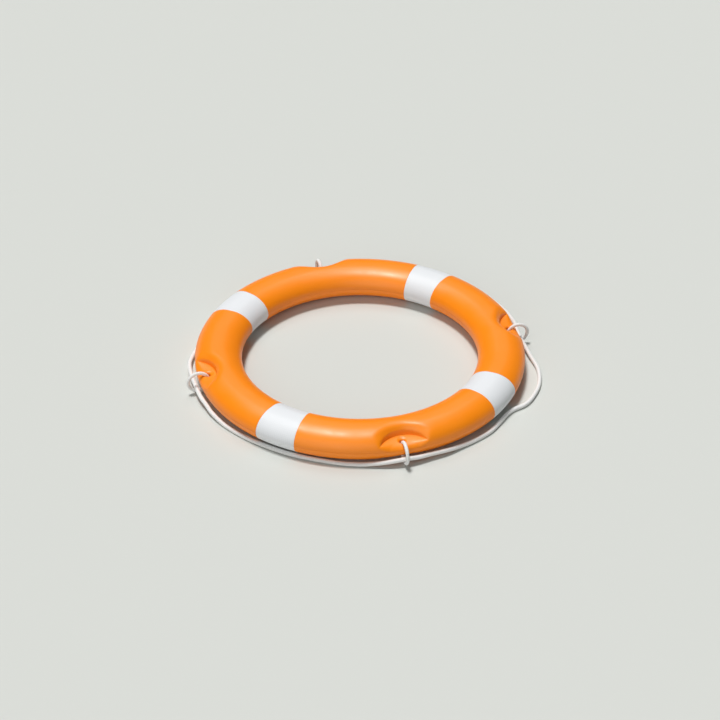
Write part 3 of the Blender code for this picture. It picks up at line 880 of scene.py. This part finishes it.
# %% Holes of the beckets
ROUND_SIDES = 48
HOLE_BORE = 6.8 * MM
HOLE_BEND = 4.6 * MM  # radius of the bend
BEND_DEGREES, BEND_STEPS = 68, 9
CONE_LENGTH = 9 * MM
BOSS_WALL = 2.5 * MM
SHELF_FALL = (RECESS_RADIUS - RECESS_AXIS + HOLE_RADIUS) * math.tan(SHELF_SLOPE)

becket_holes = [(degrees, HOLE_RADIUS) for degrees in BECKET_DEGREES.values()]


def hole_section():
    """The bore's radii and heights, from below the lower shelf to above the upper one."""
    turn = np.radians(np.linspace(0, BEND_DEGREES, BEND_STEPS))
    out = HOLE_BORE + HOLE_BEND * (1 - np.cos(turn))
    out = np.append(out, out[-1] + CONE_LENGTH * math.sin(turn[-1]))
    past = HOLE_BEND * (np.sin(turn) - math.sin(turn[-1]))
    past = np.append(past, CONE_LENGTH * math.cos(turn[-1]))
    upper, lower = (list(zip(out, MID + side * (rise - SHELF_FALL + past)))
                    for side, rise, _, _ in RECESSES)
    return lower[::-1] + upper


print("shelf to shelf at a hole: %.1f mm" % (
    sum(rise - SHELF_FALL for _, rise, _, _ in RECESSES) / MM))

# %% [markdown]
# The two halves are made in one loop, because the lower one is the same form turned over, with its
# recesses at their own height. The plug holes come last and only in the lower half. Each has a
# shallow seat round it, in which the plug's head lies flush.

# %% Shell halves
PLUG_DEGREES = {"filler_plug": 202.5, "vent_plug": 22.5}
PLUG_HOLE = 4 * MM
PLUG_SEAT, PLUG_SEAT_DEPTH = 7.8 * MM, 1.7 * MM
CUT_BELOW, CUT_ABOVE = -5 * MM, 8 * MM  # the cutter ends in free space, below and in the hollow
SEAT_FALL = 0.0001 * MM  # so that the seat's floor isn't exactly level
SHARP = math.radians(30)

plug_places = [(degrees, TUBE_RADIUS) for degrees in PLUG_DEGREES.values()]
shells = {}
for (side, depth, _, _), node in zip(RECESSES, ("shell_upper", "shell_lower")):
    shell = half_shell(node + "_moulded", side, depth, shell_surface)
    joint = MID + side * FIT_GAP / 2
    boss_end = MID + side * (depth - SHELF_FALL - SHELL_WALL / 2 / math.cos(SHELF_SLOPE))
    boss = [(HOLE_BORE + BOSS_WALL, height) for height in sorted((joint, boss_end))]
    combine(shell, "UNION", turned("bosses", boss, becket_holes, ROUND_SIDES, shell_surface))
    combine(shell, "DIFFERENCE",
            turned("bores", hole_section(), becket_holes, ROUND_SIDES, shell_surface))
    shells[node] = shell

plug_hole = [(PLUG_SEAT, CUT_BELOW), (PLUG_SEAT, PLUG_SEAT_DEPTH),
             (PLUG_HOLE, PLUG_SEAT_DEPTH + SEAT_FALL), (PLUG_HOLE, CUT_ABOVE)]
combine(shells["shell_lower"], "DIFFERENCE",
        turned("plug_holes", plug_hole, plug_places, ROUND_SIDES, shell_surface))

for node, shell in shells.items():
    shell.data.shade_smooth()
    shell.data.set_sharp_from_angle(angle=SHARP)
    install(shell, "shell", node)
    print("  triangles:", sum(len(face.vertices) - 2 for face in shell.data.polygons))

# %% [markdown]
# Rigid closed-cell foam fills the shell and gives the ring its buoyancy. It is poured in and sets
# there, so it is the same form a little smaller, with room for the bosses and the plugs' barbs. Cut
# open it shows fine pale cells, and Voronoi noise draws such cells best.

# %% Foam filling
FOAM_CELL = 1.5 * MM  # real cells are finer; drawn this coarse so that they show
FOAM_BUMP = 0.3 * MM
FOAM_TURN_STEP, FOAM_SLOPE_STEP = 1.0, 5.0  # degrees
FOAM_ROUND_SIDES = 32
POCKET, POCKET_TOP = 4.8 * MM, 7.5 * MM


def closed_cell_foam():
    made, tree, shader = new_material("closed_cell_foam")
    place = add(tree, "ShaderNodeTexCoord").outputs["Object"]
    cells = add(tree, "ShaderNodeTexVoronoi", {"Vector": place, "Scale": 1 / FOAM_CELL})
    colour = add(tree, "ShaderNodeMix", {
        FACTOR: cells.outputs["Distance"],
        COLOUR_A: linear("#EFE3BC"), COLOUR_B: linear("#DCCB98")}, data_type="RGBA")
    tree.links.new(colour.outputs[MIXED_COLOUR], shader.inputs["Base Color"])
    bump = add(tree, "ShaderNodeBump",
               {"Height": cells.outputs["Distance"], "Distance": FOAM_BUMP, "Strength": 0.5})
    tree.links.new(bump.outputs["Normal"], shader.inputs["Normal"])
    shader.inputs["Roughness"].default_value = 0.9
    shader.inputs["IOR"].default_value = 1.3
    return made


foam_surface = closed_cell_foam()
foam_turn = np.radians(np.arange(0, 360, FOAM_TURN_STEP))
foam_slope = np.radians(np.arange(0, 360, FOAM_SLOPE_STEP))[:, None]
foam_offset = np.mod(foam_turn, math.pi / 2) - math.pi / 4
foam_reach = reach(foam_offset, foam_slope, SHELL_WALL + FIT_GAP)
foam = grid_piece("foam_filling", on_ring(foam_turn, foam_slope, foam_reach), foam_surface)
boss_room = HOLE_BORE + BOSS_WALL + FIT_GAP
for name, radius, top, places in (("foam_bores", boss_room, 2 * MID, becket_holes),
                                  ("pockets", POCKET, POCKET_TOP, plug_places)):
    combine(foam, "DIFFERENCE", turned(
        name, [(radius, 0), (radius, top)], places, FOAM_ROUND_SIDES, foam_surface))
foam.data.set_sharp_from_angle(angle=SHARP)
install(foam, "foam", "foam_core")

# %% [markdown]
# The plugs close the hole through which the foam was poured, and the vent across the ring from it.
# Each is round all over, so one turned section makes it. It is pressed in, and a barb holds it
# behind the wall. It is moulded in black nylon, which is hard and has a dull, even shine.

# %% Plugs
HEAD, HEAD_TOP = 7.5 * MM, 1.4 * MM  # radius, and height of the head's upper side
HEAD_EDGE = 0.5 * MM
HEAD_FACE = 0.2 * MM  # the head's face stands this high above the floor
SHANK, SHANK_TOP = 3.7 * MM, 3.8 * MM
BARB, BARB_TOP, TIP = 0.8 * MM, 4.6 * MM, 7.2 * MM
DIMPLE, DIMPLE_EDGE, DIMPLE_TOP = 1.6 * MM, 2.2 * MM, 0.5 * MM  # the mould's gate mark
PLUG_SHARP = math.radians(35)


def moulded_nylon():
    made, _, shader = new_material("moulded_black_nylon")
    shader.inputs["Base Color"].default_value = linear("#1C1D1F")
    shader.inputs["Roughness"].default_value = 0.45
    shader.inputs["IOR"].default_value = 1.53
    return made


plug_surface = moulded_nylon()
head_rim = [(HEAD - HEAD_EDGE + HEAD_EDGE * math.sin(t), HEAD_FACE + HEAD_EDGE * (1 - math.cos(t)))
            for t in np.radians(np.linspace(0, 90, 6))]
plug_section = [(DIMPLE, DIMPLE_TOP), (DIMPLE_EDGE, HEAD_FACE)] + head_rim + [
    (HEAD, HEAD_TOP), (SHANK, HEAD_TOP), (SHANK, SHANK_TOP), (SHANK + BARB, SHANK_TOP),
    (SHANK + BARB, BARB_TOP), (SHANK - BARB, TIP)]
for node, place in zip(PLUG_DEGREES, plug_places):
    plug = turned(node + "_pressed_in", plug_section, [place], ROUND_SIDES, plug_surface)
    plug.data.set_sharp_from_angle(angle=PLUG_SHARP)
    install(plug, "plug", node)

# %% [markdown]
# Reflective tape is a white film with tiny prisms under a clear face. The prisms are sealed off in
# cells a few millimetres wide, which show as a faint net when you are near. In plain light the
# film looks like matt white plastic with a soft gloss on top, which a thin coat in the shader
# gives. The net is drawn, because its real relief is thinner than a hair.

# %% Material of the bands
FILM_CELL = 4 * MM
SEAL_BUMP = 0.05 * MM


def reflective_film():
    made, tree, shader = new_material("white_reflective_film")
    place = add(tree, "ShaderNodeAttribute", attribute_name="film_place").outputs["Vector"]
    net = add(tree, "ShaderNodeTexVoronoi",
              {"Vector": place, "Scale": 1 / FILM_CELL, "Randomness": 0.0},
              feature="DISTANCE_TO_EDGE", voronoi_dimensions="2D")
    seal = add(tree, "ShaderNodeMapRange", {
        "Value": net.outputs["Distance"], "From Min": 0.03, "From Max": 0.09})
    colour = add(tree, "ShaderNodeMix", {
        FACTOR: seal.outputs["Result"],
        COLOUR_A: linear("#DADDE0"), COLOUR_B: linear("#E4E6E8")}, data_type="RGBA")
    tree.links.new(colour.outputs[MIXED_COLOUR], shader.inputs["Base Color"])
    bump = add(tree, "ShaderNodeBump",
               {"Height": seal.outputs["Result"], "Distance": SEAL_BUMP, "Strength": 0.5})
    tree.links.new(bump.outputs["Normal"], shader.inputs["Normal"])
    shader.inputs["Roughness"].default_value = 0.6
    shader.inputs["IOR"].default_value = 1.49
    shader.inputs["Coat Weight"].default_value = 0.2
    shader.inputs["Coat Roughness"].default_value = 0.45
    return made


film_surface = reflective_film()

# %% [markdown]
# A band is the tube's own section, carried round the ring over a short arc. A thickened copy of
# the shell would have no coordinates for the film's cells, which run with the tape. So a tree takes
# the section as a closed thin outline and sweeps it, and it notes on each point how far it lies
# along and round the band.

# %% Tree of a band
def wrapped_band():
    tree, sizes = node_group("wrapped_band", {
        "Tube radius": "Float", "Start": "Float", "Sweep": "Float", "Steps": "Int",
        "Material": "Material"})
    here = add(tree, "GeometryNodeSplineParameter")
    arc = add(tree, "GeometryNodeCurveArc", {
        "Resolution": sizes["Steps"], "Radius": sizes["Tube radius"],
        "Start Angle": sizes["Start"], "Sweep Angle": sizes["Sweep"]})
    level = add(tree, "GeometryNodeSetCurveNormal", {"Curve": arc.outputs[0]}, mode="Z_UP")
    along_arc = add(tree, "GeometryNodeCaptureAttribute", {"Geometry": level.outputs[0]})
    along_arc.capture_items.new("FLOAT", "run")
    tree.links.new(here.outputs["Length"], along_arc.inputs["run"])
    outline = add(tree, "GeometryNodeMeshToCurve", {"Mesh": sizes["Geometry"]})
    round_tube = add(tree, "GeometryNodeCaptureAttribute", {"Geometry": outline.outputs[0]})
    round_tube.capture_items.new("FLOAT", "run")
    tree.links.new(here.outputs["Length"], round_tube.inputs["run"])
    film = add(tree, "GeometryNodeCurveToMesh", {
        "Curve": along_arc.outputs[0], "Profile Curve": round_tube.outputs[0], "Fill Caps": True})
    place = add(tree, "ShaderNodeCombineXYZ",
                {"X": along_arc.outputs["run"], "Y": round_tube.outputs["run"]})
    noted = add(tree, "GeometryNodeStoreNamedAttribute", {
        "Geometry": film.outputs[0], "Name": "film_place", "Value": place.outputs[0]},
        data_type="FLOAT_VECTOR")
    finish_tree(tree, noted.outputs[0], sizes["Material"])
    return tree


WRAP = wrapped_band()

# %% [markdown]
# The tape is wrapped once round the tube, and its two ends meet low on the inner side, where they
# are out of sight. The function that made the shell gives the outline too, moved in a little,
# because the tape lies in its seat.

# %% Bands
TAPE_SINK, TAPE_THICKNESS = 0.2 * MM, 0.8 * MM
JOINT_SLOPE = math.radians(230.4)
JOINT_GAP = 3 * MM
OUTLINE_POINTS = 180
BAND_STEPS = 41

joint_half = JOINT_GAP / 2 / float(reach(AT_A_BAND, JOINT_SLOPE, TAPE_SINK))
tape_slope = np.linspace(
    JOINT_SLOPE + joint_half, JOINT_SLOPE - joint_half + math.tau, OUTLINE_POINTS)
faces_of_tape = []
for inset in (TAPE_SINK, TAPE_SINK + TAPE_THICKNESS):
    r = reach(AT_A_BAND, tape_slope, inset)
    # a sweep along a level arc turns the outline's Y to point down, so heights are negative here
    faces_of_tape.append(np.stack(
        [r * np.cos(tape_slope), -MID - r * np.sin(tape_slope), 0 * r], axis=-1))
tape_outline = np.concatenate([faces_of_tape[0], faces_of_tape[1][::-1]])

band_sweep = 2 * (math.radians(BAND_HALF_ANGLE) - FIT_GAP / TUBE_RADIUS)
for place, degrees in BAND_DEGREES.items():
    host = line_object("tape_%s_film" % place, tape_outline, closed=True)
    band = grown(host, WRAP, {
        "Tube radius": TUBE_RADIUS, "Start": math.radians(degrees) - band_sweep / 2,
        "Sweep": band_sweep, "Steps": BAND_STEPS, "Material": film_surface})
    band.data.set_sharp_from_angle(angle=SHARP)
    install(band, "tape", "tape_" + place)

# %% [markdown]
# The ring lies on matt pale ground in wide, soft light. One large square reaches far past the
# picture. The sky has the ground's colour for the camera only, so that low views see no horizon,
# and for the ring it is a weak, slightly cool fill.

# %% Floor and sky
FLOOR_SIZE = 60  # metres
SKY_FILL = 0.04


def matt_floor():
    made, _, shader = new_material("matt_studio_floor")
    shader.inputs["Base Color"].default_value = linear("#CED0CB")
    shader.inputs["Roughness"].default_value = 0.95
    shader.inputs["Specular IOR Level"].default_value = 0.0
    return made


far = FLOOR_SIZE / 2
floor = new_piece("floor", [(-far, -far, 0), (far, -far, 0), (far, far, 0), (-far, far, 0)],
                  [[0, 1, 2, 3]], matt_floor())

sky = bpy.data.worlds.new("studio")
bpy.context.scene.world = sky
sky.use_nodes = True
sky_tree = sky.node_tree
sky_tree.nodes.clear()
seen = add(sky_tree, "ShaderNodeLightPath").outputs["Is Camera Ray"]
fill = add(sky_tree, "ShaderNodeBackground", {"Color": linear("#E6ECF4"), "Strength": SKY_FILL})
plain = add(sky_tree, "ShaderNodeBackground", {"Color": linear("#DEDFDB"), "Strength": 1.0})
either = add(sky_tree, "ShaderNodeMixShader", {0: seen, 1: fill.outputs[0], 2: plain.outputs[0]})
add(sky_tree, "ShaderNodeOutputWorld", {"Surface": either.outputs[0]})
print("floor %d m wide, sky fill %.2f" % (FLOOR_SIZE, SKY_FILL))

# %% [markdown]
# Most of the light comes from almost straight above, and makes the soft shine along the crown. A
# wide light from behind lifts the far sides, and a wide, low one from the camera's left lights the
# near and left sides. Sides that face right get little of either and stay the darkest. All three
# are suns, whose strength doesn't fall off across the ring.

# %% Lamps
LAMP_DISTANCE = 5  # metres; a sun shines alike from any distance

# name, strength, then degrees: width of the sun, azimuth and elevation
LAMPS = (
    ("overhead_light", 2.45, 12, 260, 79),
    ("light_behind", 0.66, 30, 215, 59),
    ("low_light_left", 1.1, 60, 10, 29),
)
for name, energy, spread, azimuth, elevation in LAMPS:
    lamp = bpy.data.lights.new(name, "SUN")
    lamp.energy = energy
    lamp.angle = math.radians(spread)
    stand(name, lamp, math.radians(azimuth), math.radians(elevation), LAMP_DISTANCE, CAMERA_TARGET)
bpy.context.scene.view_settings.view_transform = "Standard"
print("lamps:", len(LAMPS))
